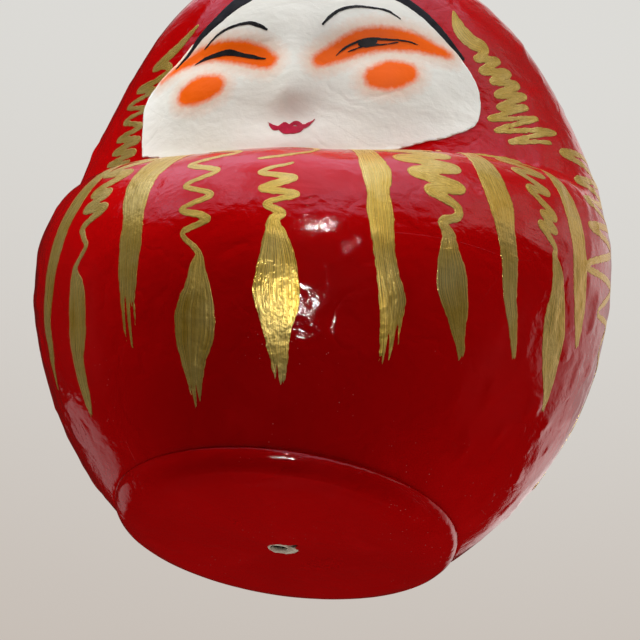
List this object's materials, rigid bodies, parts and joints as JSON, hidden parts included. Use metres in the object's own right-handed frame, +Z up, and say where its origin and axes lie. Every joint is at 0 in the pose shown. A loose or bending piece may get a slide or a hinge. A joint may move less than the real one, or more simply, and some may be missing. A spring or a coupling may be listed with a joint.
{
  "type": "daruma doll",
  "caption": "Round papier-mache daruma doll, lacquered red with a white face and gold strokes, hollow on a clay weight so that it rights itself.",
  "frame": {"origin": "centre of the foot's flat underside, on the axis of the stick hole, where the doll stands", "axes": "+Z up through the crown, -Y the way the face looks, +X to the right of someone facing the doll"},
  "size_m": [0.1488, 0.1415, 0.174],
  "materials": {
    "red_lacquer": "gloss",
    "hide_glue": "gloss",
    "fired_clay": "matte",
    "white_paint": "satin",
    "black_paint": "satin",
    "orange_paint": "matte",
    "lip_paint": "satin",
    "gold_paint": "satin",
    "raw_paper": "matte"
  },
  "bodies": {
    "root": {"shell": "red_lacquer", "slit_glue": "hide_glue", "back_strip": "red_lacquer", "weight_glue": "hide_glue", "base_weight": "fired_clay", "foot_skin": "red_lacquer"}
  },
  "joints": []
}
